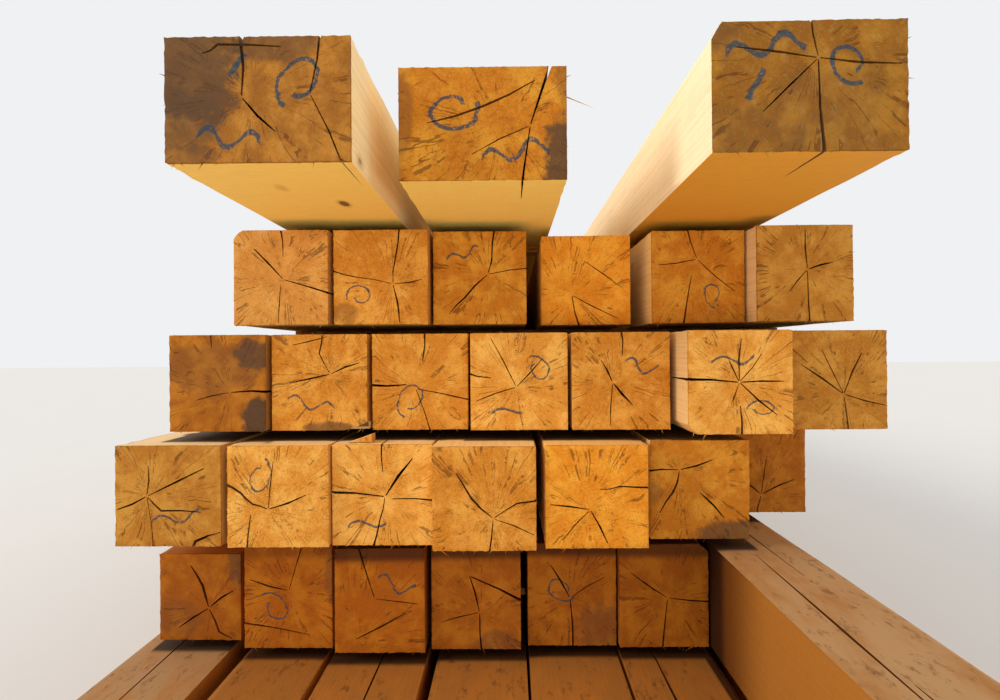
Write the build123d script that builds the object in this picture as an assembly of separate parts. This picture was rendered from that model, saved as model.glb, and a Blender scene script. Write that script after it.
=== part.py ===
from build123d import *
from math import cos, pi, radians, sin
import os

# Sawn sections, in millimetres: squares in the middle courses and one a little stouter, timbers on
# edge in the two lowest courses, a smaller and a narrow one among them, and the flat top beams
square_side = 140.0
edge_width = 130.0
edge_height = 150.0
small_width = 124.0
small_height = 130.0
narrow_width = 121.0
stout_width = 148.0
beam_width = 192.0
beam_height = 130.0

# Lengths that such timber is sold in
square_length = 4000.0
beam_length = 4500.0
long_length = 5000.0

# Cross laths that hold the courses apart, in rows along the stack
lath_thickness = 13.0
lath_width = 50.0
lath_rows = 5
lath_from_end = 150.0
lath_inset = 12.0

# Drying checks: cracks that run out from the heart, as mouth widths at their open end
hair_check = 1.1
open_check = 2.1
wide_check = 3.4
check_depth = 110.0
check_proud = 2.0
check_step = 42.0
check_wander = 1.8
heart_clear = 2.0
check_overlap = 0.7
far_end_turn = 31.0

# Checks along the upper face of timbers that lie in the weather
top_check_depth = 28.0

# Ends are sawn a little out of square, in degrees
saw_skew = 0.9

# Wane: how much of a corner the round of the log takes away at the front end
wane_cut = 9.0
wane_runout = 7.0

# Corner broken out of one square, and the chip that lies below it
break_length = 34.0
chip_clearance = 1.0
break_height = lath_thickness - chip_clearance
break_depth = 26.0
chip_behind_end = 15.0
chip_from_edge = 20.0


class Timber:
    # a sawn timber: its section, its left edge and how far its front end stands back
    def __init__(self, name, section, length, left, setback):
        self.name = name
        self.width, self.height = section
        self.length = length
        self.left = left
        self.setback = setback
        self.right = left + self.width


def lay_course(names, left, sections, length, gaps, setbacks):
    # timbers side by side, each beginning one gap after the last
    course = []
    edge = left
    for name, section, gap, setback in zip(names, sections, gaps, setbacks):
        timber = Timber(name, section, length, edge + gap, setback)
        course.append(timber)
        edge = timber.right
    return course


def numbered(course, count):
    return [f"course_{course}_timber_{place + 1}" for place in range(count)]


# Section of each kind as width and height
square = (square_side, square_side)
on_edge = (edge_width, edge_height)
broad = (square_side, edge_height)
stout = (stout_width, square_side)
small = (small_width, small_height)
narrow = (narrow_width, edge_height)
flat_beam = (beam_width, beam_height)

# Each course from the left: gap before each timber, and its front end behind the foremost ends
bottom_course = lay_course(
    numbered(1, 7), -7.0, [broad, on_edge, broad, on_edge, on_edge, broad, on_edge], long_length,
    [0, 19, 8, 14, 2, 3, 20], [0, 14, 6, 22, 9, 17, 30])
second_course = lay_course(
    numbered(2, 6), 25.0, [small, on_edge, on_edge, on_edge, on_edge, on_edge], square_length,
    [0, 14, 6, 7, 9, 2], [551, 523, 506, 518, 531, 524])
third_course = lay_course(
    numbered(3, 7), 6.5, [stout, square, square, square, square, square, square], square_length,
    [0, 10, 1, 1, 11, 10, 6], [467, 460, 469, 441, 451, 497, 659])
fourth_course = lay_course(
    numbered(4, 7), 62.0, [square] * 7, square_length,
    [0, 5, 5, 3, 5, 8, 13], [509, 516, 520, 508, 507, 443, 497])
fifth_course = lay_course(
    numbered(5, 6), 149.0, [square] * 6, square_length,
    [0, 5, 4, 23, 24, 3], [525, 531, 551, 601, 562, 523])
top_course = lay_course(
    ["top_beam_left", "top_beam_middle", "top_beam_right"], 201.0, [flat_beam] * 3, beam_length,
    [0, 34, 133], [218, 300, 198])

# The long timber lies beside the second course and comes as far forward as the bottom one
second_course += lay_course(
    ["long_timber"], second_course[-1].right, [narrow], long_length, [2], [0])

courses = [bottom_course, second_course, third_course, fourth_course, fifth_course, top_course]

# The stack stands with the middle of its outline over the origin
every_timber = [timber for course in courses for timber in course]
stack_left = min(timber.left for timber in every_timber)
stack_right = max(timber.right for timber in every_timber)
stack_middle = (stack_left + stack_right) / 2
stack_length = max(timber.setback + timber.length for timber in every_timber)

# Drying checks on the front ends, as a mouth and the way from the heart, from the lower left corner
end_checks = {
    "top_beam_left": [(wide_check, (80, 67), (82, 98), (80, 136)), (open_check, (80, 67), (114, 32)),
                      (open_check, (122, 118), (56, 121), (40, 112)), (open_check, (150, 70), (161, 136)),
                      (hair_check, (150, 70), (184, -6))],
    "top_beam_middle": [(open_check, (31, 65), (96, 84), (155, 113)), (wide_check, (150, 62), (175, 136)),
                        (open_check, (150, 62), (140, -6)), (hair_check, (150, 62), (84, 30))],
    "top_beam_right": [(open_check, (104, 92), (97, 136)), (wide_check, (104, 92), (110, -6)),
                       (open_check, (104, 92), (184, 85)), (open_check, (104, 92), (24, 104)),
                       (hair_check, (104, 92), (50, 40))],
    "course_5_timber_1": [(open_check, (74, 67), (31, 112)), (open_check, (74, 67), (146, 45)),
                          (open_check, (74, 98), (69, 146)), (hair_check, (70, 60), (66, 4))],
    "course_5_timber_2": [(open_check, (88, 60), (91, 93), (98, 146)), (open_check, (88, 60), (98, 3)),
                          (hair_check, (88, 60), (35, 70), (-6, 82)), (hair_check, (88, 60), (130, 66))],
    "course_5_timber_3": [(open_check, (82, 75), (88, 96), (93, 146)), (open_check, (82, 75), (48, 41), (24, 16)),
                          (hair_check, (82, 75), (146, 84))],
    "course_5_timber_4": [(open_check, (48, 47), (61, -6)), (hair_check, (48, 47), (120, 10)),
                          (hair_check, (68, 100), (126, 58))],
    "course_5_timber_5": [(open_check, (68, 96), (53, 146)), (open_check, (60, 74), (47, -6)),
                          (hair_check, (68, 96), (124, 48)), (hair_check, (68, 96), (10, 88))],
    "course_5_timber_6": [(open_check, (73, 75), (70, 132)), (open_check, (73, 75), (110, 85)),
                          (hair_check, (73, 75), (47, 43)), (open_check, (73, 75), (76, -6))],
    "course_4_timber_1": [(wide_check, (88, 57), (146, 57)), (open_check, (62, 118), (60, 146)),
                          (hair_check, (88, 57), (40, 46))],
    "course_4_timber_2": [(open_check, (86, 82), (28, 70)), (open_check, (86, 82), (128, 98)),
                          (open_check, (86, 82), (70, 112), (75, 146)), (hair_check, (30, 124), (82, 136))],
    "course_4_timber_3": [(wide_check, (52, 66), (-6, 66)), (open_check, (74, 98), (77, 146)),
                          (hair_check, (64, 60), (140, 44)), (hair_check, (64, 60), (86, -6))],
    "course_4_timber_4": [(open_check, (32, 75), (-6, 83)), (hair_check, (66, 62), (104, 103)),
                          (hair_check, (66, 62), (30, 132)), (hair_check, (66, 62), (8, 42))],
    "course_4_timber_5": [(open_check, (58, 68), (42, 99)), (wide_check, (58, 68), (86, 35)),
                          (open_check, (72, 104), (70, 146)), (hair_check, (58, 68), (54, 6))],
    "course_4_timber_6": [(wide_check, (68, 70), (-6, 74)), (open_check, (68, 70), (50, 110)),
                          (open_check, (68, 70), (127, 71)), (open_check, (68, 70), (118, 26)),
                          (open_check, (68, 70), (54, 32)), (wide_check, (69, 40), (71, -6)),
                          (open_check, (68, 70), (71, 128)), (hair_check, (68, 70), (98, 108))],
    "course_4_timber_7": [(open_check, (78, 50), (19, 92)), (open_check, (78, 50), (104, 108)),
                          (open_check, (78, 50), (85, -6)), (hair_check, (78, 50), (48, 112)),
                          (hair_check, (78, 50), (136, 34))],
    "course_3_timber_1": [(open_check, (45, 70), (47, 112)), (open_check, (45, 70), (4, 52)),
                          (open_check, (45, 70), (124, 108)), (open_check, (45, 70), (65, 50), (120, 48)),
                          (wide_check, (105, -6), (112, 8), (146, 20)), (hair_check, (45, 70), (54, -6))],
    "course_3_timber_2": [(wide_check, (57, 53), (36, 60), (19, 76), (-6, 88)), (open_check, (57, 53), (108, 72)),
                          (open_check, (33, 47), (27, -6)), (hair_check, (57, 53), (64, 118))],
    "course_3_timber_3": [(wide_check, (74, 68), (-6, 74)), (wide_check, (74, 68), (112, 120)),
                          (open_check, (74, 68), (67, 37), (56, -6)), (open_check, (71, 100), (70, 146)),
                          (open_check, (82, 65), (146, 62))],
    "course_3_timber_4": [(open_check, (82, 44), (53, 71), (33, 104)), (open_check, (82, 44), (114, 64), (146, 68)),
                          (open_check, (82, 44), (76, -6)), (hair_check, (82, 44), (136, 22))],
    "course_3_timber_5": [(open_check, (61, 53), (8, 60)), (open_check, (61, 53), (84, 8)),
                          (open_check, (72, 80), (101, 84), (146, 82)), (hair_check, (61, 53), (24, 12))],
    "course_3_timber_6": [(open_check, (42, 98), (-6, 96)), (open_check, (42, 98), (88, 112)),
                          (open_check, (42, 98), (33, 67), (14, 38)), (open_check, (69, 67), (104, 30))],
    "course_3_timber_7": [(open_check, (67, 30), (35, 62)), (open_check, (67, 30), (120, 54)),
                          (open_check, (67, 30), (58, -6)), (hair_check, (67, 30), (76, 92))],
    "course_2_timber_1": [(wide_check, (75, 49), (66, 82), (48, 112)), (open_check, (75, 49), (112, 75)),
                          (open_check, (75, 49), (30, 20)), (open_check, (75, 49), (90, 14), (110, 4))],
    "course_2_timber_2": [(open_check, (98, 20), (-6, 38)), (open_check, (66, 84), (10, 100)),
                          (hair_check, (66, 84), (88, 156))],
    "course_2_timber_3": [(open_check, (30, 20), (102, 57)), (open_check, (58, 78), (34, 156)),
                          (hair_check, (58, 78), (120, 70))],
    "course_2_timber_4": [(open_check, (70, 54), (56, 106)), (open_check, (70, 54), (73, -6)),
                          (wide_check, (56, 106), (136, 68)), (hair_check, (70, 54), (16, 40))],
    "course_2_timber_5": [(open_check, (62, 70), (34, 118)), (open_check, (62, 70), (66, -6)),
                          (hair_check, (62, 70), (112, 100))],
    "course_2_timber_6": [(open_check, (70, 72), (136, 66)), (open_check, (70, 72), (62, -6)),
                          (hair_check, (70, 72), (18, 108))],
    "course_1_timber_1": [(wide_check, (64, 80), (70, 156)), (open_check, (64, 80), (20, 30))],
    "course_1_timber_2": [(open_check, (58, 70), (-6, 92)), (open_check, (58, 70), (104, 36))],
    "course_1_timber_3": [(wide_check, (76, 82), (68, 156)), (open_check, (76, 82), (120, 40))],
    "course_1_timber_4": [(open_check, (60, 66), (136, 78)), (open_check, (60, 66), (30, 112))],
    "course_1_timber_5": [(open_check, (70, 84), (72, -6)), (open_check, (70, 84), (108, 128))],
    "course_1_timber_6": [(wide_check, (66, 60), (-6, 48)), (open_check, (66, 60), (104, 118))],
    "course_1_timber_7": [(open_check, (58, 78), (62, 156)), (open_check, (58, 78), (96, 40))],
    "long_timber": [(wide_check, (56, 84), (46, 156)), (open_check, (56, 84), (20, 40)),
                    (open_check, (56, 84), (104, 52))],
}

# Checks along the top: mouth, then distance across and along from the front left corner to both ends
top_checks = {
    "long_timber": [(wide_check, (38, 20), (46, 470)), (open_check, (74, 380), (70, 900))],
    "course_1_timber_1": [(open_check, (58, 260), (52, 860))],
    "course_1_timber_3": [(open_check, (70, 180), (78, 760))],
    "course_1_timber_6": [(wide_check, (54, 90), (48, 620))],
    "top_beam_left": [(open_check, (118, 240), (112, 1100))],
    "top_beam_right": [(open_check, (130, 480), (122, 1300))],
}

# Corners that the round of the log leaves bare, as sides of the section: left or right, top or bottom
waney_corners = {
    "top_beam_right": (-1, 1),
    "course_5_timber_1": (-1, 1),
    "course_4_timber_6": (-1, -1),
    "course_2_timber_6": (1, 1),
    "course_1_timber_2": (-1, 1),
    "course_1_timber_6": (1, 1),
}

os.makedirs("parts", exist_ok=True)


def saw_out(timber):
    # the sawn rectangle, front end at Y 0 and lower left edge on the Y axis
    return Box(timber.width, timber.length, timber.height, align=(Align.MIN, Align.MIN, Align.MIN))


def skew_ends(solid, timber, skew):
    # both ends are cut a little out of square, each from the corner that stays full length
    hinge_x = 0 if skew > 0 else timber.width
    reach = 2 * (timber.width + timber.height)
    waste = Box(reach, reach, reach, align=(Align.CENTER, Align.MAX, Align.CENTER))
    front = Pos(hinge_x, 0, 0) * Rot(0, 0, skew) * waste
    back = Pos(hinge_x, timber.length, 0) * Rot(0, 0, 180 - skew) * waste
    return solid - [front, back]


def leave_wane(solid, timber, side, level):
    # the sawn rectangle keeps only what lies inside the tapering round of the log
    half_width = timber.width / 2
    half_height = timber.height / 2
    corner_reach = (half_width ** 2 + half_height ** 2) ** 0.5
    away = 2 * wane_cut / corner_reach
    heart_x = half_width * (1 - side * away)
    heart_z = half_height * (1 - level * away)
    front_radius = corner_reach + wane_cut
    log = Cone(front_radius, front_radius + wane_runout, timber.length,
               align=(Align.CENTER, Align.CENTER, Align.MIN))
    return solid & Pos(heart_x, 0, heart_z) * Rot(-90, 0, 0) * log


def check_slice(point, across, outward, share, mouth, depth):
    # triangle across a crack: open at the face, closed at its root
    lip = point + outward * (check_proud * share)
    half_mouth = across * (0.5 * mouth * share)
    return [lip - half_mouth, lip + half_mouth, point - outward * (depth * share)]


def open_wedge(near, far, near_share, far_share, mouth, depth, outward):
    # straight piece of a crack between two alike triangles, so that all its walls are flat
    across = (far - near).normalized().cross(outward)
    first = check_slice(near, across, outward, near_share, mouth, depth)
    last = check_slice(far, across, outward, far_share, mouth, depth)
    walls = [[first[k], first[k - 2], last[k - 2], last[k]] for k in range(3)]
    return Solid(Shell([Face(Wire.make_polygon(corners, close=True)) for corners in [first, last, *walls]]))


def leave_heart(path):
    # the path without its first few millimetres, so that the cracks around a heart stay apart
    start, stop = path[:2]
    run = ((stop[0] - start[0]) ** 2 + (stop[1] - start[1]) ** 2) ** 0.5
    share = heart_clear / run
    begun = (start[0] + (stop[0] - start[0]) * share, start[1] + (stop[1] - start[1]) * share)
    return [begun, *path[1:]]


def wander(path):
    # the way of a crack, broken into short steps that stray a little to either side
    way = [path[0]]
    for start, stop in zip(path, path[1:]):
        run_x = stop[0] - start[0]
        run_z = stop[1] - start[1]
        run = (run_x ** 2 + run_z ** 2) ** 0.5
        steps = max(2, round(run / check_step))
        for step in range(1, steps + 1):
            share = step / steps
            stray = check_wander * sin(2.3 * step + run) if step < steps else 0
            way.append((start[0] + run_x * share - run_z / run * stray,
                        start[1] + run_z * share + run_x / run * stray))
    return way


def turned(path, angle):
    # the path turned about its first point, the heart
    heart_x, heart_z = path[0]
    c = cos(radians(angle))
    s = sin(radians(angle))
    return [(heart_x + c * (x - heart_x) - s * (z - heart_z),
             heart_z + s * (x - heart_x) + c * (z - heart_z)) for x, z in path]


def opening(progress, runs_out):
    # how far a crack gapes along its way: most at the section's edge, or else short of its tip
    if runs_out:
        return 0.25 + 0.75 * progress
    return max(0.08, 0.25 + 0.75 * sin(pi * progress ** 0.8))


def end_check(timber, mouth, way, end_place, outward):
    # a crack in an end face, piece by piece away from the heart
    tip_x, tip_z = way[-1]
    runs_out = not (0 < tip_x < timber.width and 0 < tip_z < timber.height)
    count = len(way) - 1
    pieces = []
    for step in range(count):
        near = Vector(way[step][0], end_place, way[step][1])
        far = Vector(way[step + 1][0], end_place, way[step + 1][1])
        if step > 0:
            near -= (far - near).normalized() * check_overlap
        near_share = opening(step / count, runs_out)
        far_share = opening((step + 1) / count, runs_out)
        pieces.append(open_wedge(near, far, near_share, far_share, mouth, check_depth, outward))
    return pieces


def top_check(timber, mouth, start, stop):
    # a crack in the upper face, widest short of its middle
    near = Vector(start[0], start[1], timber.height)
    far = Vector(stop[0], stop[1], timber.height)
    middle = near + (far - near) * 0.45
    up = Vector(0, 0, 1)
    return [open_wedge(near, middle, 0.15, 1, mouth, top_check_depth, up),
            open_wedge(middle, far, 1, 0.1, mouth, top_check_depth, up)]


def corner_wedge():
    # the splinter that came away from a lower right corner, its foot on the end face
    foot = Polyline((0, 0), (break_length, 0), (break_length, break_height), close=True)
    return Rot(90, 0, 0) * extrude(make_face(foot), -break_depth)


def cut_away(solid, cracks):
    # splinters that crossing cracks cut free have long fallen away
    return (solid - cracks).solids().sort_by(SortBy.VOLUME)[-1]


def build_timber(timber, place, level):
    solid = saw_out(timber)
    if timber.name in waney_corners:
        solid = leave_wane(solid, timber, *waney_corners[timber.name])
    solid = skew_ends(solid, timber, saw_skew * cos(pi * place * 0.7))
    front = Vector(0, -1, 0)
    back = Vector(0, 1, 0)
    for mouth, *path in end_checks[timber.name]:
        far_path = turned(path, far_end_turn)
        solid = cut_away(solid, end_check(timber, mouth, wander(leave_heart(path)), 0, front))
        solid = cut_away(solid, end_check(timber, mouth, leave_heart(far_path), timber.length, back))
    for mouth, start, stop in top_checks.get(timber.name, []):
        solid = cut_away(solid, top_check(timber, mouth, start, stop))
    if timber is broken_timber:
        solid = cut_away(solid, [Pos(timber.width - break_length, 0, 0) * corner_wedge()])
    return Pos(timber.left - stack_middle, timber.setback - stack_length / 2, level) * solid


def build_laths(course, level):
    # rows of laths under one course, as long as the course is wide
    first_row = max(timber.setback for timber in every_timber) + lath_from_end
    last_row = min(timber.setback + timber.length for timber in every_timber) - lath_from_end
    left = course[0].left + lath_inset
    right = course[-1].right - lath_inset
    laths = []
    for row in range(lath_rows):
        row_place = first_row + row * (last_row - first_row) / (lath_rows - 1)
        lath = Box(right - left, lath_width, lath_thickness, align=(Align.MIN, Align.CENTER, Align.MIN))
        laths.append(Pos(left - stack_middle, row_place - stack_length / 2, level) * lath)
    return Compound(children=laths)


def build_chip(level):
    # the broken corner, flat on the timber below the break
    carrier = third_course[2]
    chip_left = carrier.left + chip_from_edge
    chip_front = carrier.setback + chip_behind_end
    return Pos(chip_left - stack_middle, chip_front - stack_length / 2, level) * corner_wedge()


broken_timber = fourth_course[1]
level = 0.0
for number, course in enumerate(courses):
    if number > 0:
        export_step(build_laths(course, level), f"parts/laths_gap_{number}.step")
        level += lath_thickness
    for place, timber in enumerate(course):
        export_step(build_timber(timber, number + place, level), f"parts/{timber.name}.step")
    level += max(timber.height for timber in course)
    if course is third_course:
        export_step(build_chip(level), "parts/corner_chip.step")
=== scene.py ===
import math
import random

import bpy
from mathutils import Matrix, Vector


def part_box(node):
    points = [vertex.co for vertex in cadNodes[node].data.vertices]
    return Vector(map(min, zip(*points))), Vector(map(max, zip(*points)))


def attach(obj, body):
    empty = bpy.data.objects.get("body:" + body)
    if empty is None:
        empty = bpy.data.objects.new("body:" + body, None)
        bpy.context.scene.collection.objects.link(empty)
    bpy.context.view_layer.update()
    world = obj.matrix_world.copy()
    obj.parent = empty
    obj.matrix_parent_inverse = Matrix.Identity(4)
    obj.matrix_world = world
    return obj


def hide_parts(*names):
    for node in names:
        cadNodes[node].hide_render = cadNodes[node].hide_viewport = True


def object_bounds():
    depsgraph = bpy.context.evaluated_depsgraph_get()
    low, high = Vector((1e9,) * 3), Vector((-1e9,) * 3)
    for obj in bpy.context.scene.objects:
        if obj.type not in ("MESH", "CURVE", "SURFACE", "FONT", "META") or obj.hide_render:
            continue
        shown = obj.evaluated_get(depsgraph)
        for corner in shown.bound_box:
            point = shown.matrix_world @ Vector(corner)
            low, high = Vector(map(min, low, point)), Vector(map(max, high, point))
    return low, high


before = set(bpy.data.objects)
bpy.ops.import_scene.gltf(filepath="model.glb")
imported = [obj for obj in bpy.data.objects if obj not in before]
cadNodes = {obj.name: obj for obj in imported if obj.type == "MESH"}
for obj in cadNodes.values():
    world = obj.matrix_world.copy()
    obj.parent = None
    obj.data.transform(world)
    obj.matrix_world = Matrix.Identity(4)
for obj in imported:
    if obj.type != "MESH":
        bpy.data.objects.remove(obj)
cadLow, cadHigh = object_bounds()
scene = bpy.context.scene
mm = 0.001


def pickOnly(item=None):
    bpy.ops.object.select_all(action="DESELECT")
    if item is not None:
        item.select_set(True)
        bpy.context.view_layer.objects.active = item


pickOnly()
print("frame loaded", len(cadNodes), "nodes")

# Shader maths: a socket that can be added, multiplied and so on


class Flow:
    def __init__(self, shader, socket):
        self.shader = shader
        self.socket = socket

    def calc(self, operation, *others):
        return self.shader.node("ShaderNodeMath", {"operation": operation}, dict(enumerate((self, *others))))

    def __add__(self, other):
        return self.calc("ADD", other)

    def __sub__(self, other):
        return self.calc("SUBTRACT", other)

    def __mul__(self, other):
        return self.calc("MULTIPLY", other)

    def __truediv__(self, other):
        return self.calc("DIVIDE", other)

    def __radd__(self, other):
        return self.calc("ADD", other)

    def __rmul__(self, other):
        return self.calc("MULTIPLY", other)

    def __rsub__(self, other):
        return self.shader.node("ShaderNodeMath", {"operation": "SUBTRACT"}, {0: other, 1: self})

    def size(self):
        return self.calc("ABSOLUTE")

    def reach(self, other):
        # how far the point with these two coordinates lies from where both are 0
        return (self * self + other * other).calc("SQRT")

    def least(self, other):
        return self.calc("MINIMUM", other)

    def most(self, other):
        return self.calc("MAXIMUM", other)

    def fraction(self):
        return self.calc("FRACT")

    def step(self, low, high):
        # 0 at low and 1 at high, or the other way round where low is the larger
        rising = low < high
        return self.shader.node(
            "ShaderNodeMapRange", {"interpolation_type": "SMOOTHSTEP"},
            {"Value": self, "From Min": min(low, high), "From Max": max(low, high),
             "To Min": 0.0 if rising else 1.0, "To Max": 1.0 if rising else 0.0})


class Shader:
    def __init__(self, name):
        self.material = bpy.data.materials.new(name)
        self.material.use_nodes = True
        self.tree = self.material.node_tree
        self.surface = self.tree.nodes["Principled BSDF"]

    def node(self, kind, settings=None, inputs=None, output=0):
        made = self.tree.nodes.new(kind)
        for name, value in (settings or {}).items():
            setattr(made, name, value)
        for name, value in (inputs or {}).items():
            self.feed(made.inputs[name], value)
        return Flow(self, made.outputs[output])

    def feed(self, socket, value):
        if isinstance(value, Flow):
            self.tree.links.new(value.socket, socket)
        else:
            socket.default_value = value

    def mix(self, share, first, second):
        return self.node("ShaderNodeMix", {"data_type": "RGBA"}, {0: share, 6: first, 7: second}, output=2)

    def vector(self, x, y, z):
        return self.node("ShaderNodeCombineXYZ", None, {0: x, 1: y, 2: z})

    def split(self, vector):
        parts = self.tree.nodes.new("ShaderNodeSeparateXYZ")
        self.feed(parts.inputs[0], vector)
        return [Flow(self, part) for part in parts.outputs]

    def noise(self, place, scale=1.0, detail=2.0, rough=0.5):
        settings = {"Vector": place, "Scale": scale, "Detail": detail, "Roughness": rough}
        return self.node("ShaderNodeTexNoise", None, settings)

    def set(self, name, value):
        self.feed(self.surface.inputs[name], value)


def linear(red, green, blue):
    # colour written as in a paint program, 0 to 255, turned to light values
    def one(level):
        share = level / 255
        return share / 12.92 if share <= 0.04045 else ((share + 0.055) / 1.055) ** 2.4
    return (one(red), one(green), one(blue), 1.0)


# Sawn timber: colours of end grain, its paler parts and the side grain
woodLook = {
    "honey": {"end": (186, 116, 30), "pale": (208, 146, 58), "side": (250, 208, 136)},
    "amber": {"end": (174, 104, 18), "pale": (194, 132, 38), "side": (252, 214, 142)},
    "gold": {"end": (206, 126, 24), "pale": (222, 152, 46), "side": (250, 206, 128)},
    "straw": {"end": (200, 132, 44), "pale": (220, 162, 74), "side": (252, 214, 148)},
    "olive": {"end": (162, 104, 30), "pale": (184, 130, 50), "side": (252, 220, 164)},
    # The rust and umber tones of the two lowest courses are darker wood, partly painted shade of the courses
    # above
    "rust": {"end": (148, 76, 3), "pale": (168, 98, 14), "side": (206, 134, 52)},
    "umber": {"end": (138, 72, 5), "pale": (160, 94, 14), "side": (178, 110, 40)},
    "tan": {"end": (188, 124, 50), "pale": (202, 144, 68), "side": (250, 210, 144)},
    "smoke": {"end": (134, 84, 26), "pale": (164, 110, 38), "side": (254, 228, 172)},
    "moss": {"end": (120, 78, 20), "pale": (147, 102, 31), "side": (254, 232, 190)},
    # The next tone's darker end and paler parts are painted shade cast by neighbouring timbers
    "wet": {"end": (144, 82, 14), "pale": (170, 106, 26), "side": (244, 196, 120)},
    "shade": {"end": (138, 72, 5), "pale": (160, 94, 14), "side": (158, 102, 38)},
}

# Colours of the wood, of what lies on it and of painted shade, in the steps 0 to 255
grain = {
    "latewood": (138, 76, 20),
    # dark of the hair cracks drawn on the ends, and painted shade inside cracks and breaks
    "hairCrack": (74, 36, 12),
    "knot": (92, 46, 18),
    "weathered": (156, 100, 42),
    "bleached": (178, 140, 96),
    "dirt": (96, 60, 28),
    "mould": (74, 54, 38),
    # painted warm shade for faces that turn down
    "under": (250, 182, 80),
    "crayon": (38, 62, 74),
    "crayonDark": (30, 34, 40),
    "shadow": (36, 14, 4),
    "halfShadow": (84, 40, 3),
    "openHigh": (212, 166, 108),
    "openLow": (186, 132, 76),
    "openWarm": (200, 138, 70),
}

# Noises that draw the wood: features in one unit of their place, octaves, and how rough they are
clouds = {
    "sway": (0.018, 1.0, 0.5),
    "tremble": (0.11, 2.0, 0.5),
    "blotch": (0.028, 3.0, 0.6),
    "fuzz": (0.13, 4.0, 0.75),
    "speck": (0.5, 2.0, 0.6),
    "broken": (0.045, 2.0, 0.5),
    "spokes": (1.0, 2.0, 0.5),
    "ray": (3.0, 2.0, 0.5),
    "waxy": (0.34, 2.0, 0.6),
    "streak": (1.0, 3.0, 0.6),
    "faded": (1.0, 3.0, 0.6),
    "sawn": (1.0, 2.0, 0.6),
    "patchy": (1.0, 4.0, 0.65),
    "soil": (1.0, 4.0, 0.7),
}

# How a noise is stretched over the timber, in x, y and z for each mm, and the axis that the seed moves
stretch = {
    "streak": (0.3, 0.004, 0.3, 1),
    "faded": (0.02, 0.0016, 0.02, 1),
    "patchy": (0.02, 0.006, 0.02, 1),
    "soil": (0.09, 0.03, 0.09, 2),
    "knots": (0.011, 0.0042, 0.011, 0),
}
endStretch = {"along": 0.05, "seed": 31}
sawLines = {"across": 0.02, "along": 0.22, "slant": 0.05}

# Where a drawn value starts to show and where it is full
steps = {
    "ringRise": (0.35, 0.9),
    "ringFall": (1.0, 0.9),
    "clearRing": (0.4, 0.62),
    "hair": (0.017, 0.004),
    "broken": (0.46, 0.56),
    "hairStart": (3.0, 9.0),
    "knot": (0.08, 0.06),
    "faded": (0.38, 0.62),
    "stain": (1.15, 0.72),
    "wax": (0.26, 0.46),
    "darkWax": (0.5, 0.66),
    "patchy": (0.2, 0.6),
    "soil": (0.54, 0.7),
}

# How far a face has to turn: up for weather, up for a top, down, to an end, or into a crack's wall
turned = {
    "upward": (0.3, 0.8),
    "top": (0.5, 0.9),
    "under": (-0.5, -0.9),
    "endward": (0.4, 0.7),
    "wall": (0.5, 0.8),
}

# Layers one over the other: what draws each, where it starts and is full, how much it shows, its colour
endLayers = [
    ("blotch", 0.4, 0.64, 1.0, "pale"),
    ("clearRing", None, None, 0.16, "latewood"),
    ("ray", 0.52, 0.7, 0.15, "latewood"),
    ("fuzz", 0.5, 0.7, 0.38, "latewood"),
    ("fuzz", 0.48, 0.3, 0.05, "side"),
    ("speck", 0.53, 0.7, 0.5, "pale"),
    ("speck", 0.47, 0.3, 0.35, "latewood"),
    ("hair", None, None, 0.62, "hairCrack"),
]
beamFuzz = 1.9
grainLayers = [
    ("streak", 0.4, 0.8, 0.16, "latewood"),
    ("ring", None, None, 0.07, "latewood"),
]
knotLayers = [
    ("knots", 0.13, 0.07, 0.3, "latewood"),
    ("knot", None, None, 0.8, "knot"),
    ("sawLines", 0.02, 0.2, 0.08, "latewood"),
]

# Rings around the heart of the log, in mm
rings = {
    "width": 3.4,
    "sway": 16,
    "tremble": 4,
    "spokeSway": 14,
    "spokeTremble": 5,
    "spokes": 5.0,
    "heart": 4.0,
}

# Surface of the wood, and how much each drawing stands out of it
surface = {"roughness": 0.72, "uneven": 0.2, "specular": 0.12, "bump": 0.55, "bumpDepth": 0.0012}
endRelief = {"fuzz": 0.9, "speck": 0.7, "ring": 0.08, "hair": -1.0}
sideRelief = {"sawn": 0.5, "streak": 0.3, "knot": -0.3, "ring": 0.12}

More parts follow.
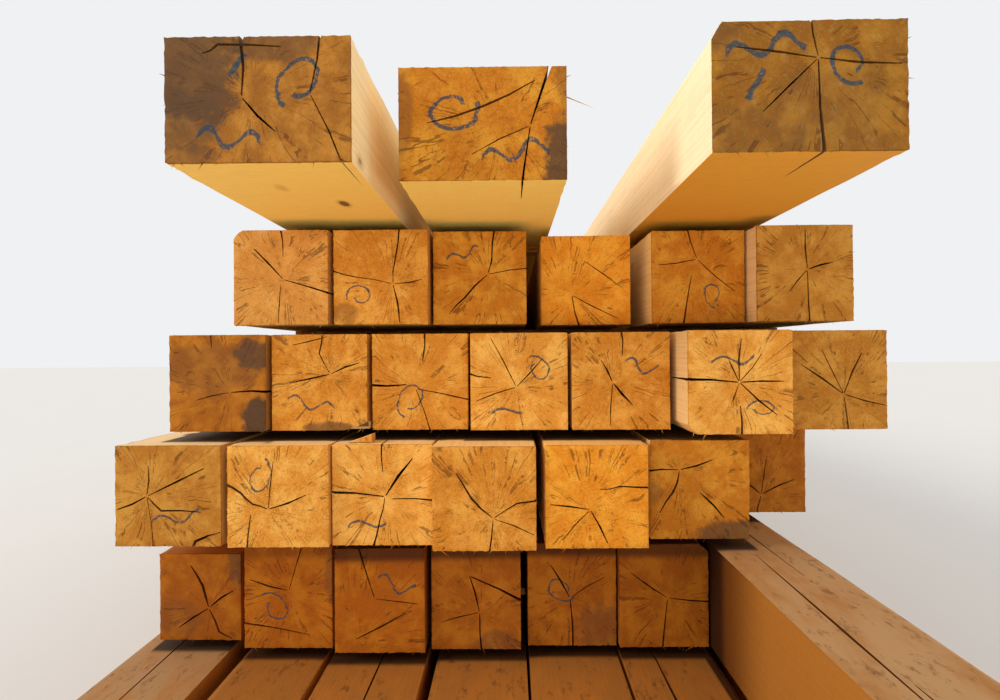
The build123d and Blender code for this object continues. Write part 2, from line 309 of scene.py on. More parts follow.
# Each timber: its tone, and the heart of the log in mm from the lower left of its end
timbers = {
    "top_beam_left": ("smoke", 92, 70), "top_beam_middle": ("amber", 120, 62),
    "top_beam_right": ("moss", 104, 92),
    "course_5_timber_1": ("tan", 74, 67), "course_5_timber_2": ("honey", 88, 60),
    "course_5_timber_3": ("amber", 82, 75), "course_5_timber_4": ("gold", 48, 47),
    "course_5_timber_5": ("amber", 62, 74), "course_5_timber_6": ("olive", 73, 75),
    "course_4_timber_1": ("wet", 88, 57), "course_4_timber_2": ("honey", 86, 82),
    "course_4_timber_3": ("honey", 64, 60), "course_4_timber_4": ("straw", 66, 62),
    "course_4_timber_5": ("honey", 58, 68), "course_4_timber_6": ("straw", 68, 70),
    "course_4_timber_7": ("olive", 78, 50),
    "course_3_timber_1": ("olive", 49, 70), "course_3_timber_2": ("straw", 57, 53),
    "course_3_timber_3": ("straw", 74, 68), "course_3_timber_4": ("honey", 82, 44),
    "course_3_timber_5": ("gold", 61, 53), "course_3_timber_6": ("amber", 42, 98),
    "course_3_timber_7": ("wet", 67, 30),
    "course_2_timber_1": ("umber", 77, 49), "course_2_timber_2": ("rust", 66, 84),
    "course_2_timber_3": ("rust", 30, 20), "course_2_timber_4": ("umber", 70, 54),
    "course_2_timber_5": ("umber", 62, 70), "course_2_timber_6": ("umber", 70, 72),
    "course_1_timber_1": ("umber", 66, 80), "course_1_timber_2": ("umber", 58, 70),
    "course_1_timber_3": ("umber", 76, 82), "course_1_timber_4": ("umber", 60, 66),
    "course_1_timber_5": ("umber", 70, 84), "course_1_timber_6": ("umber", 66, 60),
    "course_1_timber_7": ("umber", 58, 78), "long_timber": ("shade", 56, 84),
}

# Crayon on the ends, in mm from the lower left: curls as middle, radius, turn in degrees and growth in
# one round, waves as start, stop, swing and number of turns, and ticks from point to point
crayonMarks = {
    "top_beam_left": [("curl", 140, 82, 23, 60, 16), ("wave", 34, 28, 100, 20, 10, 1.5),
                      ("tick", 84, 114, 68, 88)],
    "top_beam_middle": [("curl", 60, 80, 24, 200, 16), ("wave", 96, 26, 172, 38, 9, 1.7)],
    "top_beam_right": [("wave", 14, 100, 92, 112, 8, 1.7), ("curl", 134, 88, 18, 120, 13),
                       ("tick", 34, 50, 52, 84)],
    "course_5_timber_2": [("curl", 40, 42, 15, 20, 11)],
    "course_5_timber_3": [("wave", 22, 96, 70, 110, 6, 1.4)],
    "course_5_timber_5": [("curl", 92, 44, 14, 100, 11)],
    "course_4_timber_2": [("wave", 24, 44, 92, 30, 8, 1.5)],
    "course_4_timber_3": [("curl", 58, 44, 21, 70, 15)],
    "course_4_timber_4": [("curl", 98, 88, 16, -60, 12), ("wave", 30, 24, 74, 34, 5, 0.8)],
    "course_4_timber_5": [("wave", 74, 96, 122, 82, 8, 1.2)],
    "course_4_timber_6": [("wave", 30, 96, 88, 104, 7, 1.0), ("curl", 98, 36, 15, 0, 11)],
    "course_3_timber_1": [("wave", 52, 34, 118, 46, 7, 1.3)],
    "course_3_timber_2": [("curl", 44, 98, 17, 250, 13)],
    "course_3_timber_3": [("wave", 22, 26, 74, 36, 7, 0.9)],
    "course_2_timber_2": [("curl", 46, 58, 19, 320, 13)],
    "course_2_timber_3": [("wave", 62, 104, 116, 90, 8, 1.3)],
    "course_2_timber_5": [("curl", 48, 82, 17, 150, 12)],
}

# Strokes of crayon: half their width on the beams and on the rest, how the hand sways in mm, and how full
crayonLook = {
    "beamStroke": 3.4,
    "stroke": 1.8,
    "soft": 0.5,
    "tremble": 9,
    "sway": 16,
    "oval": 1.3,
    "flat": 0.75,
    "fadeOut": 1.0,
    "fadeIn": 2.0,
    "dark": 0.6,
    "show": 0.86,
}

# Dark patches on the ends, in mm from the lower left: middle, reach across and up, and depth of colour
stains = {
    "top_beam_left": [(22, 98, 64, 60, 0.8), (14, 44, 40, 34, 0.55), (116, 122, 44, 20, 0.55),
                      (20, 8, 40, 12, 0.4)],
    "top_beam_middle": [(194, 4, 30, 66, 0.9), (2, 70, 14, 60, 0.4), (190, 110, 12, 30, 0.35)],
    "top_beam_right": [(0, 120, 30, 22, 0.4), (120, 40, 60, 50, 0.2), (40, 20, 60, 30, 0.2)],
    "course_4_timber_1": [(126, 110, 34, 22, 0.8), (128, 18, 24, 32, 0.95), (60, 92, 80, 40, 0.3)],
    "course_4_timber_2": [(86, 4, 44, 10, 0.7)],
    "course_3_timber_6": [(118, 6, 50, 20, 0.75), (0, 66, 20, 20, 0.4)],
    "course_5_timber_2": [(20, 16, 20, 18, 0.35)],
    "course_2_timber_1": [(120, 120, 20, 40, 0.6), (30, 30, 34, 30, 0.25)],
    "course_2_timber_2": [(130, 110, 14, 50, 0.4)],
    "course_2_timber_5": [(112, 24, 40, 40, 0.35)],
    "course_2_timber_4": [(92, 10, 30, 20, 0.35)],
}

# How the wood frays the edge of a stain, and how its colour takes the grain
stainLook = {"blotch": 1.2, "fuzz": 0.9, "plain": 0.7, "speck": 0.6}

# Painted warm shade on the top beams' undersides, in their own colours as they were seen, with some of the
# fresher colour of wood kept from the weather
beamUnderShades = {
    "top_beam_left": (255, 211, 102),
    "top_beam_middle": (255, 217, 111),
    "top_beam_right": (224, 155, 31),
}

# How deep the overhanging third course shades the ends below it
overhung = {
    "course_2_timber_2": 0.2,
    "course_2_timber_3": 0.6,
    "course_2_timber_4": 0.6,
    "course_2_timber_5": 0.6,
    "course_2_timber_6": 0.5,
}


def restingOn(low, high):
    # the timbers that lie on one with this box, as left, right, front and back in mm from its lower left
    found = []
    for other in timbers:
        otherLow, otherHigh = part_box(other)
        if 0 < otherLow.z - high.z < 0.03 and otherLow.x < high.x and otherHigh.x > low.x:
            found.append(((otherLow.x - low.x) / mm, (otherHigh.x - low.x) / mm,
                          (otherLow.y - low.y) / mm, (otherHigh.y - low.y) / mm))
    return found


def outermost(name):
    # whether the left and the right side of a timber lie open
    if name.startswith("course_2") or name == "long_timber":
        return name == "course_2_timber_1", name == "long_timber"
    course = [other for other in timbers if other[:8] == name[:8]] or [None]
    return name == course[0], name == course[-1]


# Where a timber's end, its cracks and its open sides begin, in mm from its faces
zones = {
    "endSide": (5.5, 2.5),
    "endFace": (18.0, 14.0),
    "insideFrom": (2.5, 5.0),
    "waneReach": (14.0, 20.0),
    "openSide": (6.0, 3.0),
    # a painted shade band on the right side, and how far back from the end it fades
    "flank": (4.0, 1.0),
    "flankFade": (110.0, 20.0),
    "coverSide": (12, 8),
    "coverFront": (12, 4),
    "crayonDepth": (20.0, 6.0),
    "cornerFade": (75, 40),
}
# How much each layer shows, painted shade in cracks, covered tops, slots and undersides among them
show = {
    "inside": 0.85,
    "covered": 0.9,
    "faded": 0.5,
    "flank": 0.8,
    "under": 0.75,
    "ownUnder": 0.95,
    "weather": 0.85,
    "dirt": 0.65,
}

# How the third course shades the ends that it overhangs, in mm below their tops
overhangShades = [
    ("halfShadow", 26.0, 16.0),
    ("shadow", 21.0, 12.0),
]

# How the corner behind it shades the long timber's side, in mm from the second course's front
longShades = [
    ("halfShadow", -240, -60, 0.9),
    ("shadow", -75, -40, 0.85),
]


class Wood(Shader):
    # one timber's wood with the shade painted on it in cracks, slots, covered tops, overhung ends, undersides
    # and the long timber's side, in mm from the lower left of its front end: the rings run around the heart,
    # so that ends and sides agree

    def __init__(self, name, low, high, toneName, heartX, heartZ, weathered):
        super().__init__(name + ".wood")
        self.name = name
        self.low = low
        self.high = high
        self.tone = woodLook[toneName]
        self.dark = toneName in ("umber", "shade", "rust")
        self.seed = float(sum(ord(letter) * (k + 3) for k, letter in enumerate(name)) % 97)
        self.width = (high.x - low.x) / mm
        self.length = (high.y - low.y) / mm
        self.tall = (high.z - low.z) / mm
        place = self.node("ShaderNodeTexCoord", output=3)
        shift = {"Vector": place, "Location": [-value / mm for value in low], "Scale": [1 / mm] * 3}
        self.x, self.y, self.z = self.split(self.node("ShaderNodeMapping", None, shift))
        facing = self.split(self.node("ShaderNodeTexCoord", output=1))
        self.sideward = facing[0].size()
        self.endward = facing[1].size()
        self.rise = facing[2]
        self.flows = {}
        self.drawEnds(heartX, heartZ)
        self.drawSides()
        sideTone = self.sideColour(weathered)
        onEnd = self.onEnd()
        self.set("Base Color", self.mix(onEnd, sideTone, self.endColour()))
        self.set("Roughness", surface["roughness"] + (self.flows["speck"] - 0.5) * surface["uneven"])
        self.set("Specular IOR Level", surface["specular"])
        relief = self.height(endRelief) * onEnd + self.height(sideRelief) * (1 - onEnd)
        bump = {"Strength": surface["bump"], "Distance": surface["bumpDepth"], "Height": relief}
        self.set("Normal", self.node("ShaderNodeBump", None, bump))

    def cloud(self, kind, place=None):
        return self.noise(place or self.stretched(kind), *clouds[kind])

    def stretched(self, kind):
        *scales, seeded = stretch[kind]
        place = [part * scale for part, scale in zip((self.x, self.y, self.z), scales)]
        place[seeded] = place[seeded] + self.seed
        return self.vector(*place)

    def height(self, relief):
        found = None
        for kind, share in relief.items():
            part = self.flows[kind] * share
            found = part if found is None else found + part
        return found

    def over(self, base, share, kind):
        # base with a colour of the tone or of the grain over it
        return self.mix(share, base, linear(*(self.tone.get(kind) or grain[kind])))

    def layered(self, base, layers):
        for kind, start, full, share, colour in layers:
            drawn = self.flows[kind]
            if start is not None:
                drawn = drawn.step(start, full)
            if kind == "fuzz" and colour == "latewood" and self.name.startswith("top"):
                share = share * beamFuzz
            base = self.over(base, drawn * share, colour)
        return base

    def drawEnds(self, heartX, heartZ):
        # rings and hair cracks around the heart, and the torn grain
        flows = self.flows
        along = self.y * endStretch["along"] + self.seed * endStretch["seed"]
        across = self.vector(self.x, along, self.z)
        for kind in ("sway", "tremble", "blotch", "speck", "broken"):
            flows[kind] = self.cloud(kind, across)
        flows["fuzz"] = self.cloud("fuzz", self.vector(self.x, self.seed, self.z))
        sway = flows["sway"] - 0.5
        tremble = flows["tremble"] - 0.5
        dx = self.x - heartX
        dz = self.z - heartZ
        radius = dx.reach(dz)
        ringPlace = radius + sway * rings["sway"] + tremble * rings["tremble"]
        phase = (ringPlace / rings["width"]).fraction()
        flows["ring"] = phase.step(*steps["ringRise"]) * phase.step(*steps["ringFall"])
        flows["clearRing"] = flows["ring"] * flows["sway"].step(*steps["clearRing"])
        spread = radius.most(rings["heart"])
        spokeX = (dx + sway * rings["spokeSway"]) / spread
        spokeZ = (dz + tremble * rings["spokeTremble"]) / spread
        spoke = self.vector(spokeX * rings["spokes"], spokeZ * rings["spokes"], self.seed)
        flows["ray"] = self.cloud("ray", spoke)
        crack = (self.cloud("spokes", spoke) - 0.5).size().step(*steps["hair"])
        flows["hair"] = crack * flows["broken"].step(*steps["broken"]) * radius.step(*steps["hairStart"])

    def drawSides(self):
        # the long grain, the saw's lines and the knots
        flows = self.flows
        flows["streak"] = self.cloud("streak")
        flows["faded"] = self.cloud("faded")
        slanted = self.y * sawLines["along"] + (self.z + self.x) * sawLines["slant"]
        raised = self.z * sawLines["across"] + self.seed
        flows["sawn"] = self.cloud("sawn", self.vector(self.x * sawLines["across"], slanted, raised))
        flows["sawLines"] = (flows["sawn"] - 0.5).size()
        cells = {"Vector": self.stretched("knots"), "Scale": 1.0}
        flows["knots"] = self.node("ShaderNodeTexVoronoi", None, cells)
        flows["knot"] = flows["knots"].step(*steps["knot"])

    def endColour(self):
        flows = self.flows
        colour = self.layered(linear(*self.tone["end"]), endLayers)
        for midX, midZ, reachX, reachZ, depth in stains.get(self.name, []):
            away = ((self.x - midX) / reachX).reach((self.z - midZ) / reachZ)
            away = away + (flows["blotch"] - 0.5) * stainLook["blotch"]
            away = away + (flows["fuzz"] - 0.5) * stainLook["fuzz"]
            grainy = (stainLook["plain"] + flows["speck"] * stainLook["speck"]).least(1.0)
            colour = self.over(colour, away.step(*steps["stain"]) * depth * grainy, "mould")
        if self.name in overhung:
            for kind, start, full in overhangShades:
                shade = self.z.step(self.tall - start, self.tall - full) * overhung[self.name]
                colour = self.over(colour, shade, kind)
        drawn = self.crayonStrokes()
        if drawn is not None:
            waxy = self.cloud("waxy", self.vector(self.x, self.seed, self.z))
            dark = waxy.step(*steps["darkWax"]) * crayonLook["dark"]
            wax = self.over(linear(*grain["crayon"]), dark, "crayonDark")
            share = drawn * waxy.step(*steps["wax"]) * crayonLook["show"] * self.y.step(*zones["crayonDepth"])
            colour = self.mix(share, colour, wax)
        return colour

    def crayonStrokes(self):
        # 1 where a stroke of crayon runs, or nothing on an end without any
        found = None
        stroke = crayonLook["beamStroke" if self.name.startswith("top") else "stroke"]
        core = stroke * crayonLook["soft"]
        fadeIn, fadeOut = crayonLook["fadeIn"], crayonLook["fadeOut"]
        for kind, fromX, fromZ, *shape in crayonMarks.get(self.name, []):
            ax = self.x - fromX + (self.flows["tremble"] - 0.5) * crayonLook["tremble"]
            az = self.z - fromZ + (self.flows["sway"] - 0.5) * crayonLook["sway"]
            if kind == "curl":
                drawn = curl(ax, az, *shape).step(stroke, core)
            else:
                run, along, aside = strokeAxes(ax, az, shape[0] - fromX, shape[1] - fromZ)
                if kind == "wave":
                    swing, turns = shape[2:]
                    aside = aside - (along * (2 * math.pi * turns / run)).calc("SINE") * swing
                    aside = aside * crayonLook["flat"]
                drawn = aside.size().step(stroke, core)
                drawn = drawn * along.step(-fadeOut, fadeIn) * along.step(run + fadeOut, run - fadeIn)
            found = drawn if found is None else found.most(drawn)
        return found

    def onEnd(self):
        # the end's own face, and a little of what lies around it
        fromEnd = self.y.least(self.length - self.y)
        ownFace = self.endward.step(*turned["endward"]) * fromEnd.step(*zones["endFace"])
        return fromEnd.step(*zones["endSide"]).most(ownFace)

    def inside(self):
        # painted shade inside a crack or a break, but none on wane at a corner
        fromFlank = self.x.least(self.width - self.x)
        fromBed = self.z.least(self.tall - self.z)
        deep = fromFlank.least(fromBed).step(*zones["insideFrom"])
        # the broken corner's whole break face gets painted shade
        if self.name == "course_4_timber_2":
            return deep
        if self.name in timbers:
            wall = self.sideward.step(*turned["wall"]) * fromFlank.step(*zones["insideFrom"])
            ledge = self.rise.size().step(*turned["wall"]) * fromBed.step(*zones["insideFrom"])
            deep = deep.most(wall).most(ledge)
        return deep * fromFlank.most(fromBed).step(*zones["waneReach"])

    def sideColour(self, weathered):
        flows = self.flows
        openTone = linear(*grain["openLow" if self.dark else "openHigh"])
        openTone = self.over(openTone, flows["faded"].step(*steps["faded"]) * show["faded"], "openWarm")
        colour = self.mix(self.openTo().least(1.0), linear(*self.tone["side"]), openTone)
        colour = self.layered(colour, grainLayers)
        # painted warm shade on the faces that turn down, with some of the fresher colour of wood kept from
        # the weather
        under = linear(*beamUnderShades.get(self.name, grain["under"]))
        underShadeShow = show["ownUnder" if self.name in beamUnderShades else "under"]
        colour = self.mix(self.rise.step(*turned["under"]) * underShadeShow, colour, under)
        if not self.name.startswith("top"):
            # painted shade on the right side near the front end, where it faces the slot beside the next
            # timber
            flank = (self.width - self.x).step(*zones["flank"]) * self.y.step(*zones["flankFade"])
            colour = self.over(colour, flank * show["flank"], "end")
        colour = self.layered(colour, knotLayers)
        if weathered:
            colour = self.weatheredColour(colour)
        # painted shade in cracks and breaks
        colour = self.over(colour, self.inside() * show["inside"], "hairCrack")
        covered = self.covered()
        if covered is not None:
            colour = self.over(colour, covered * self.rise.step(*turned["top"]) * show["covered"], "shadow")
        if self.name == "long_timber":
            besideLow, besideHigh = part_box("course_2_timber_6")
            corner = (besideLow.y - self.low.y) / mm
            behind = (besideHigh.y - self.low.y) / mm
            gone, full = zones["cornerFade"]
            flank = self.x.step(*zones["openSide"]) * (1 - self.rise.step(*turned["upward"]))
            flank = flank * self.y.step(behind + gone, behind + full)
            for kind, start, full, share in longShades:
                colour = self.over(colour, flank * self.y.step(corner + start, corner + full) * share, kind)
        return colour

    def openTo(self):
        # 1 on the sides that lie open to sun and rain
        openLeft, openRight = outermost(self.name)
        found = self.x.step(*zones["openSide"]) * float(openLeft)
        found = found + (self.width - self.x).step(*zones["openSide"]) * float(openRight)
        if self.name.startswith("top") or self.name.startswith("course_5"):
            found = found.most(self.rise.step(*turned["top"]))
        return found

    def weatheredColour(self, colour):
        # the upper face of a timber that lies in the weather
        upward = self.rise.step(*turned["upward"])
        kind = "bleached" if self.name in ("long_timber", "course_1_timber_1") else "weathered"
        patchy = self.cloud("patchy").step(*steps["patchy"])
        soil = self.cloud("soil").step(*steps["soil"])
        colour = self.over(colour, upward * patchy * show["weather"], kind)
        return self.over(colour, upward * soil * show["dirt"], "dirt")

    def covered(self):
        # 1 where another timber lies on this one, or nothing if none does
        found = None
        sideFar, sideNear = zones["coverSide"]
        before, behind = zones["coverFront"]
        for left, right, front, back in restingOn(self.low, self.high):
            under = self.x.step(left - sideFar, left - sideNear)
            under = under * self.x.step(right + sideFar, right + sideNear)
            under = under * self.y.step(front - before, front + behind)
            under = under * self.y.step(back + behind, back - before)
            found = under if found is None else found.most(under)
        return found


def strokeAxes(ax, az, runX, runZ):
    # length of a stroke, and how far along and beside it a point lies
    run = math.hypot(runX, runZ)
    return run, (ax * runX + az * runZ) / run, (az * runX - ax * runZ) / run


def curl(ax, az, reach, turn, growth):
    # distance from one round of a spiral
    aim = math.radians(turn)
    lengthwise = ax * math.cos(aim) + az * math.sin(aim)
    sideways = (az * math.cos(aim) - ax * math.sin(aim)) * crayonLook["oval"]
    around = sideways.calc("ARCTAN2", lengthwise) * (growth / (2 * math.pi))
    return (lengthwise.reach(sideways) - around - reach).size()


# Rough sawing of each timber: size of the mesh's cells and how deep the saw tore the wood, in mm, but
# with the size of the waves and of the torn fibres in m, as Blender's textures take them
roughSaw = {
    "cell": 18.0,
    "endCell": 4.2,
    "fineDepth": 27.0,
    "endRows": [4, 8, 12, 16, 21, 26, 34, 46, 64, 90, 130, 190, 280],
    "rowEvery": 130.0,
    "edgeReach": 3.0,
    "faceShare": 0.3,
    "waveDepth": 0.9,
    "wave": 0.07,
    "tornDepth": 2.2,
    "torn": 0.006,
    "smoothAngle": 38.0,
    "flatAngle": 0.004,
    "sameSpot": 0.02,
}


def copyOfNode(name, ending):
    made = bpy.data.objects.new(name + ending, cadNodes[name].data.copy())
    made.data.materials.clear()
    scene.collection.objects.link(made)
    pickOnly(made)
    bpy.ops.object.mode_set(mode="EDIT")
    bpy.ops.mesh.select_all(action="SELECT")
    bpy.ops.mesh.remove_doubles(threshold=roughSaw["sameSpot"] * mm)
    bpy.ops.mesh.dissolve_limited(angle_limit=roughSaw["flatAngle"])
    bpy.ops.object.mode_set(mode="OBJECT")
    bpy.ops.mesh.customdata_custom_splitnormals_clear()
    return made


def cutRows(axis, places):
    # slices the whole mesh that is being edited at places along one axis
    facing = [0.0, 0.0, 0.0]
    facing[axis] = 1.0
    for place in places:
        point = [0.0, 0.0, 0.0]
        point[axis] = place
        bpy.ops.mesh.select_all(action="SELECT")
        bpy.ops.mesh.bisect(plane_co=point, plane_no=facing)


def evenPlaces(start, stop, pitch):
    count = max(1, round((stop - start) / pitch))
    return [start + (stop - start) * k / count for k in range(1, count)]


def cutFine(item, wanted, low, high, cell):
    # smaller cells on the faces whose middle is wanted, with the rest of the mesh hidden meanwhile
    bpy.ops.mesh.select_all(action="DESELECT")
    bpy.ops.object.mode_set(mode="OBJECT")
    for face in item.data.polygons:
        face.select = wanted(face.center)
    bpy.ops.object.mode_set(mode="EDIT")
    bpy.ops.mesh.hide(unselected=True)
    cutRows(0, evenPlaces(low.x, high.x, cell * mm))
    cutRows(2, evenPlaces(low.z, high.z, cell * mm))
    bpy.ops.mesh.reveal(select=False)


def cloudTexture(name, size):
    made = bpy.data.textures.new(name, "CLOUDS")
    made.noise_scale = size
    made.noise_depth = 1
    return made


waveTexture = cloudTexture("sawWave", roughSaw["wave"])
tornTexture = cloudTexture("tornFibre", roughSaw["torn"])


def tear(item, groupName, depth, texture):
    change = item.modifiers.new("tear", "DISPLACE")
    change.texture = texture
    change.mid_level = 1.0
    change.strength = depth * mm
    if groupName:
        change.vertex_group = groupName
    bpy.ops.object.modifier_apply(modifier=change.name)


def roughTimber(name):
    low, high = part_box(name)
    timber = copyOfNode(name, ".sawn")
    ahead = [low.y + row * mm for row in roughSaw["endRows"]]
    behind = [high.y - row * mm for row in roughSaw["endRows"][5:1:-1]]
    between = evenPlaces(ahead[-1], behind[-1], roughSaw["rowEvery"] * mm)
    bpy.ops.object.mode_set(mode="EDIT")
    cutRows(1, ahead + between + behind)
    cutRows(0, evenPlaces(low.x, high.x, roughSaw["cell"] * mm))
    cutRows(2, evenPlaces(low.z, high.z, roughSaw["cell"] * mm))
    fineStop = low.y + roughSaw["fineDepth"] * mm
    farStart = high.y - roughSaw["fineDepth"] * mm
    cutFine(timber, lambda place: place.y < fineStop, low, high, roughSaw["endCell"])
    cutFine(timber, lambda place: place.y > farStart, low, high, roughSaw["endCell"] * 2)
    bpy.ops.object.mode_set(mode="OBJECT")
    reach = roughSaw["edgeReach"] * mm
    rims = []
    faces = []
    for vertex in timber.data.vertices:
        gaps = sorted(min(vertex.co[k] - low[k], high[k] - vertex.co[k]) for k in range(3))
        (rims if gaps[1] < reach else faces).append(vertex.index)
    groupName = "tornEdge"
    group = timber.vertex_groups.new(name=groupName)
    group.add(rims, 1.0, "REPLACE")
    group.add(faces, roughSaw["faceShare"], "REPLACE")
    tear(timber, groupName, roughSaw["waveDepth"], waveTexture)
    tear(timber, groupName, roughSaw["tornDepth"], tornTexture)
    timber.vertex_groups.clear()
    bpy.ops.object.shade_smooth_by_angle(angle=math.radians(roughSaw["smoothAngle"]))
    return timber, low, high


# Splinters that the saw left hanging from the front ends, in mm
splinters = {
    "below": 6,
    "beside": 1,
    "above": 2,
    "thick": 0.55,
    "shortest": 1.5,
    "spread": 7.0,
    "longestUp": 2.5,
    "behindEnd": (2.5, 4.0),
    "rooted": 3.0,
    "lean": 1.2,
}

# Single long ones: how far along and up the end, which way they point, and how far they stand out in mm
longSplinters = {
    "top_beam_middle": [((1.0, 0.72), (1.0, -0.2, -0.5), 34), ((1.0, 0.9), (1.0, -0.2, 0.3), 6)],
    "top_beam_left": [((0.0, 0.7), (-1.0, -0.4, 0.3), 6), ((0.2, 0.0), (-0.5, -0.3, -1.0), 8)],
    "top_beam_right": [((1.0, 0.55), (1.0, -0.2, -0.2), 6), ((1.0, 0.85), (1.0, -0.3, 0.4), 4)],
    "course_3_timber_4": [((0.1, 0.0), (0.8, -0.2, -0.6), 12)],
    "course_2_timber_6": [((0.8, 0.0), (-0.9, -0.2, -0.4), 12)],
}


def spike(root, way, reach, thick):
    # a thin four-sided spike that stands reach metres out of the wood at root
    rooted = splinters["rooted"] * mm
    middle = root + way * ((reach - rooted) / 2)
    aim = way.to_track_quat("Z", "Y").to_euler()
    bpy.ops.mesh.primitive_cone_add(vertices=4, radius1=thick, radius2=0, depth=reach + rooted,
                                    location=middle, rotation=aim)


def addSplinters(timber, low, high, name):
    # rooted in the torn edge and pointing away from it
    chance = random.Random(name)
    size = high - low
    bpy.ops.object.mode_set(mode="EDIT")
    ways = ([(0, -1)] * splinters["below"] + [(-1, 0), (1, 0)] * splinters["beside"]
            + [(0, 1)] * (0 if name.startswith("top") else splinters["above"]))
    for side, rise in ways:
        reach = splinters["shortest"] + splinters["spread"] * chance.random() ** 3
        reach = reach if rise < 0 else min(reach, splinters["longestUp"])
        across = chance.uniform(0.04, 0.96)
        share = (0.5 + side / 2, across) if side else (across, 0.5 + rise / 2)
        lean = Vector((chance.uniform(-1, 1), chance.uniform(-0.6, 0.2), chance.uniform(-1, 1)))
        lean *= splinters["lean"]
        out = Vector((side, 0, rise))
        way = (out + lean - out * lean.dot(out)).normalized()
        behind = chance.uniform(*splinters["behindEnd"]) * mm
        root = low + Vector((size.x * share[0], behind, size.z * share[1]))
        spike(root, way, reach * mm, splinters["thick"] * mm * chance.uniform(0.6, 1.3))
    for share, way, reach in longSplinters.get(name, []):
        root = low + Vector((size.x * share[0], 3.0 * mm, size.z * share[1]))
        spike(root, Vector(way).normalized(), reach * mm, splinters["thick"] * mm * 1.4)
    bpy.ops.object.mode_set(mode="OBJECT")


def keepInside(item):
    # nothing torn or splintered reaches past the outline of the solids
    for vertex in item.data.vertices:
        vertex.co = [min(max(vertex.co[k], cadLow[k]), cadHigh[k]) for k in range(3)]


def settle(item, node):
    keepInside(item)
    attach(item, "root")
    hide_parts(node)


# The timbers
triangles = 0
for name, (toneName, heartX, heartZ) in timbers.items():
    timber, low, high = roughTimber(name)
    lying = name.startswith("course_1") or name == "long_timber"
    if not lying:
        addSplinters(timber, low, high, name)
    wood = Wood(name, low, high, toneName, heartX, heartZ, lying)
    timber.data.materials.append(wood.material)
    settle(timber, name)
    triangles += sum(len(face.vertices) - 2 for face in timber.data.polygons)
print("timbers sawn", len(timbers), "triangles", triangles)

# Laths and the broken corner: cells, torn depth and the far heart of the log that they came from, in mm
smallPieces = {"lathCell": 14.0, "chipCell": 3.0, "tornDepth": 1.0, "heart": (40, -60)}
for name in sorted(cadNodes):
    if name.startswith("laths") or name == "corner_chip":
        low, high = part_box(name)
        fresh = name == "corner_chip"
        piece = copyOfNode(name, ".split" if fresh else ".rough")
        bpy.ops.object.mode_set(mode="EDIT")
        pitch = (smallPieces["chipCell"] if fresh else smallPieces["lathCell"]) * mm
        cutRows(0, evenPlaces(low.x, high.x, pitch))
        if fresh:
            cutRows(1, evenPlaces(low.y, high.y, pitch))
            cutRows(2, evenPlaces(low.z, high.z, pitch))
        bpy.ops.object.mode_set(mode="OBJECT")
        tear(piece, None, smallPieces["tornDepth"], tornTexture)
        bpy.ops.object.shade_smooth_by_angle(angle=math.radians(roughSaw["smoothAngle"]))
        wood = Wood(name, low, high, "straw" if fresh else "tan", *smallPieces["heart"], False)
        piece.data.materials.append(wood.material)
        settle(piece, name)
print("laths and chip done")

# Camera where the photographer stood
cameraPlace = {"at": (0.0152, -3.0035, 0.5908), "pitch": 0.189, "yaw": -0.809, "roll": -0.396, "lens": 25.2}
yaw = math.radians(cameraPlace["yaw"])
pitch = math.radians(cameraPlace["pitch"])
roll = math.radians(cameraPlace["roll"])
level = Vector((math.cos(yaw), -math.sin(yaw), 0))
ahead = Vector((math.sin(yaw), math.cos(yaw), 0))
forward = ahead * math.cos(pitch) + Vector((0, 0, math.sin(pitch)))
upright = ahead * -math.sin(pitch) + Vector((0, 0, math.cos(pitch)))
right = level * math.cos(roll) + upright * math.sin(roll)
up = level * -math.sin(roll) + upright * math.cos(roll)
cameraData = bpy.data.cameras.new("photographer")
cameraData.lens = cameraPlace["lens"]
cameraData.sensor_width = 36
cameraData.clip_start = 0.05
camera = bpy.data.objects.new("photographer", cameraData)
turn = Matrix((right, up, -forward)).transposed()
camera.matrix_world = Matrix.Translation(cameraPlace["at"]) @ turn.to_4x4()
scene.collection.objects.link(camera)
scene.camera = camera

# Studio: pale floor, plain sky, one soft lamp from the left, a weak warm one from the right for what
# sunlit wood around throws back, and a low fill from the front
studio = {"floor": (227, 225, 221), "dust": (200, 198, 194), "sky": (240, 241, 243), "skyLight": 0.84}
keyLamp = {"light": 1.75, "soft": 24.0, "colour": (1.0, 0.97, 0.92), "turn": 72.0, "rise": 26.0}
warmReturn = {"light": 0.5, "soft": 40.0, "colour": (1.0, 0.9, 0.74), "way": (1.0, 0.15, 1.0)}
lowFill = {"light": 29.0, "wide": 2.4, "tall": 0.8, "colour": (1.0, 0.93, 0.82), "at": (0.0, -3.7, 0.12),
           "way": (0.0, -1.0, -0.42)}
pickOnly()
bpy.ops.mesh.primitive_plane_add(size=60, location=(0, 0, -0.0005))
floor = bpy.context.object
floor.name = "studioFloor"
floorPaint = Shader("floorPaint")
floorPlace = floorPaint.node("ShaderNodeTexCoord", output=3)
floorDust = floorPaint.noise(floorPlace, 3.0, 3.0)
floorColour = floorPaint.mix(floorDust * 0.12, linear(*studio["floor"]), linear(*studio["dust"]))
floorPaint.set("Base Color", floorColour)
floorPaint.set("Roughness", 0.9)
floor.data.materials.append(floorPaint.material)

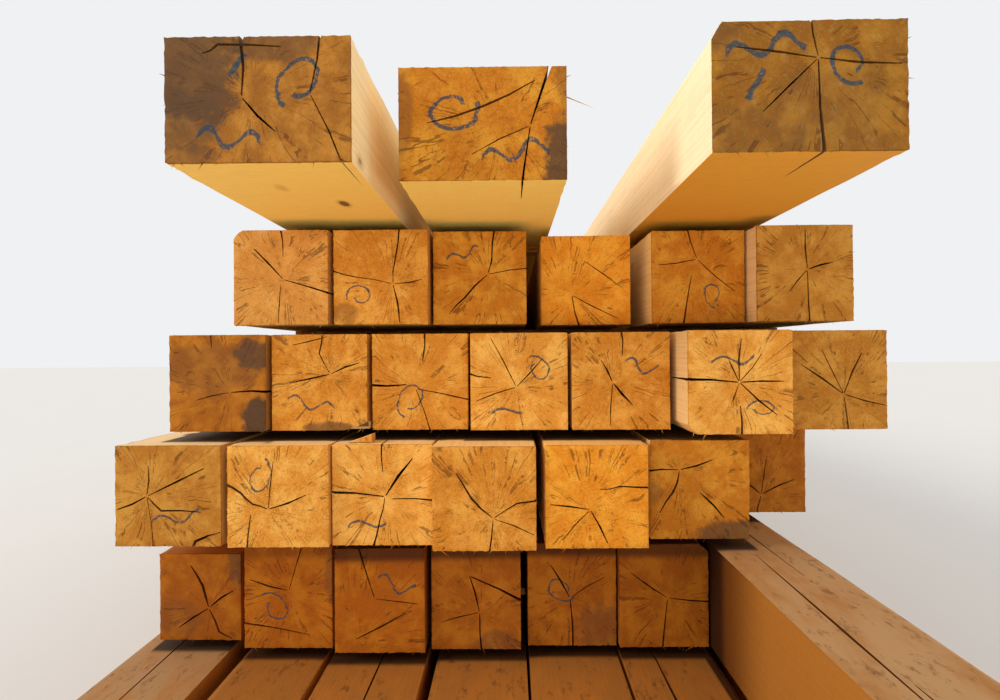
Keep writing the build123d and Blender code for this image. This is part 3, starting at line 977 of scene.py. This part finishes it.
world = bpy.data.worlds.new("studioSky")
world.use_nodes = True
scene.world = world
skyTree = world.node_tree
background = skyTree.nodes["Background"]
background.inputs["Color"].default_value = linear(*studio["sky"])
background.inputs["Strength"].default_value = studio["skyLight"]
shown = skyTree.nodes.new("ShaderNodeBackground")
shown.inputs["Color"].default_value = linear(*studio["sky"])
shown.inputs["Strength"].default_value = 1.0
seen = skyTree.nodes.new("ShaderNodeLightPath")
choose = skyTree.nodes.new("ShaderNodeMixShader")
plainRay = seen.outputs["Is Camera Ray"]
for ray in ("Is Glossy Ray", "Is Transmission Ray"):
    either = skyTree.nodes.new("ShaderNodeMath")
    either.operation = "MAXIMUM"
    skyTree.links.new(plainRay, either.inputs[0])
    skyTree.links.new(seen.outputs[ray], either.inputs[1])
    plainRay = either.outputs[0]
skyTree.links.new(plainRay, choose.inputs[0])
skyTree.links.new(background.outputs[0], choose.inputs[1])
skyTree.links.new(shown.outputs[0], choose.inputs[2])
skyTree.links.new(choose.outputs[0], skyTree.nodes["World Output"].inputs[0])


def hangLight(name, kind, facts, way, place):
    # a lamp at place that shines against way
    lightData = bpy.data.lights.new(name, kind)
    lightData.energy = facts["light"]
    lightData.color = facts["colour"]
    light = bpy.data.objects.new(name, lightData)
    light.rotation_mode = "QUATERNION"
    light.rotation_quaternion = Vector(way).to_track_quat("Z", "Y")
    light.location = place
    scene.collection.objects.link(light)
    return light


turn = math.radians(keyLamp["turn"])
rise = math.radians(keyLamp["rise"])
sunWay = Vector((-math.sin(turn) * math.cos(rise), -math.cos(turn) * math.cos(rise), math.sin(rise)))
sun = hangLight("keyLamp", "SUN", keyLamp, sunWay, sunWay * 6)
sun.data.angle = math.radians(keyLamp["soft"])
warm = hangLight("warmReturn", "SUN", warmReturn, warmReturn["way"], Vector(warmReturn["way"]) * 6)
warm.data.angle = math.radians(warmReturn["soft"])
fill = hangLight("lowFill", "AREA", lowFill, lowFill["way"], lowFill["at"])
fill.data.shape = "RECTANGLE"
fill.data.size = lowFill["wide"]
fill.data.size_y = lowFill["tall"]

# The fill stands near the floor and would leave a glare on it
skipped = bpy.data.collections.new("withoutFill")
skipped.objects.link(floor)
skipped.collection_objects[0].light_linking.link_state = "EXCLUDE"
fill.light_linking.receiver_collection = skipped

scene.view_settings.view_transform = "Standard"
print("studio ready")
